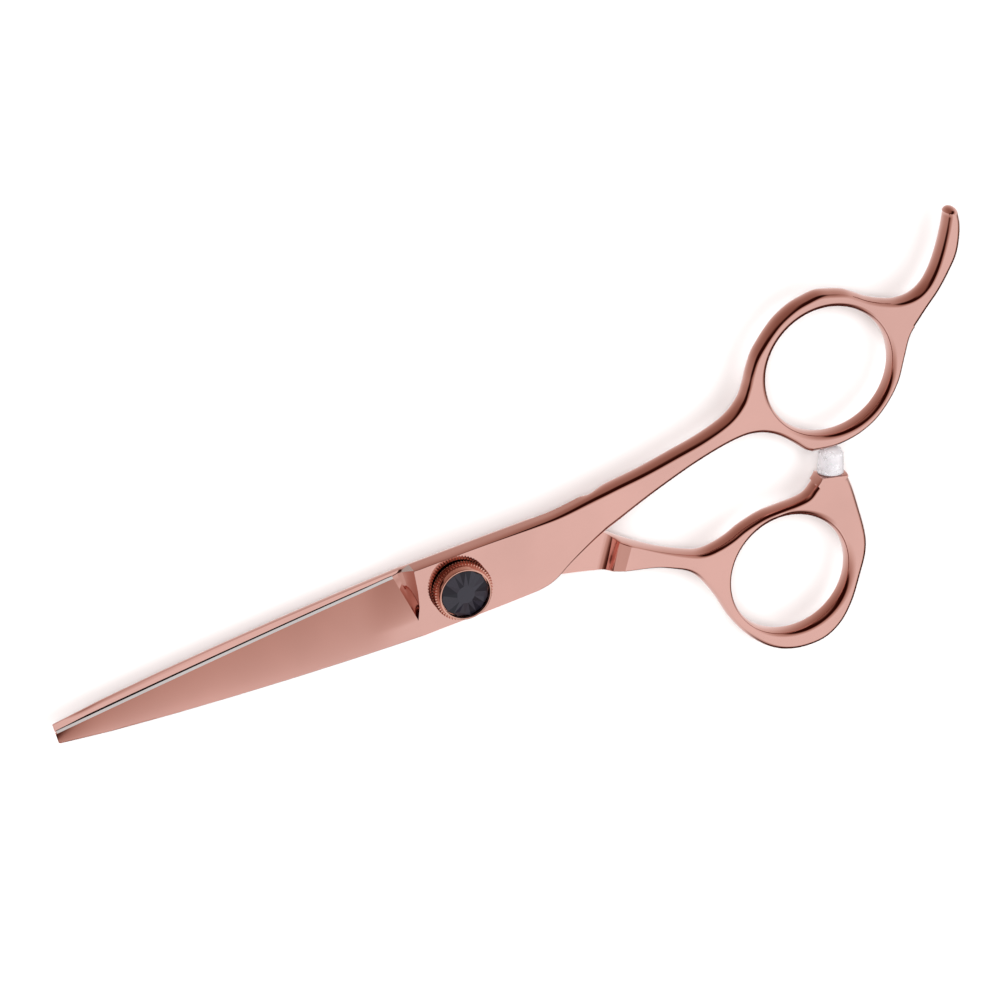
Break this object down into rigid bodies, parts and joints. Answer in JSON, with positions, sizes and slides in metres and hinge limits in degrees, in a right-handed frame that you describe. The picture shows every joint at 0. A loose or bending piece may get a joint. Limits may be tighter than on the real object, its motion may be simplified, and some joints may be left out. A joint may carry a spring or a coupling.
{
  "type": "hair cutting shears",
  "caption": "Offset-handle hair cutting shears with a knurled tension dial, a fixed finger rest and a bumper between the rings.",
  "frame": {"origin": "on the pivot axis, at the underside of the pivot bolt's head", "axes": "+X from the pivot towards the rings, +Y towards the finger ring, +Z out of the dial side"},
  "size_m": [0.1642, 0.0665, 0.009],
  "materials": {
    "coated_steel": "mirror-polished rose-coloured coating",
    "coated_steel_rear": "mirror-polished rose-coloured coating",
    "bolt_steel": "turned and coated",
    "bush": "turned",
    "low_friction": "smooth",
    "bare_steel": "ground",
    "spring_steel": "tempered strip",
    "dial_steel": "knurled, coated",
    "black_stone": "polished facets",
    "soft_clear": "translucent"
  },
  "bodies": {
    "finger_half": {"front_half": "coated_steel", "pivot_bush": "bush", "blade_washer": "low_friction", "thrust_washer": "bare_steel", "tension_spring": "spring_steel"},
    "thumb_half": {"rear_half": "coated_steel_rear", "pivot_bolt": "bolt_steel", "bumper": "soft_clear", "bumper_stud": "bare_steel"},
    "click_plate": {"click_plate": "bare_steel"},
    "dial": {"tension_dial": "dial_steel", "dial_stone": "black_stone"}
  },
  "joints": [
    {"name": "pivot", "type": "hinge", "parent": "finger_half", "child": "thumb_half", "pos_m": [0, 0, 0], "axis": [0, 0, -1], "range_deg": [0, 100]},
    {"name": "dial_travel", "type": "slide", "parent": "thumb_half", "child": "click_plate", "axis": [0, 0, 1], "range_m": [-0.00025, 0.00025], "deforming": ["tension_spring"]},
    {"name": "dial_turn", "type": "hinge", "parent": "click_plate", "child": "dial", "pos_m": [0, 0, 0], "axis": [0, 0, 1], "range_deg": [-180, 180]}
  ],
  "couplings": [
    {"joint": "dial_turn", "follows": "dial_travel", "rad_per_m": 12566}
  ]
}
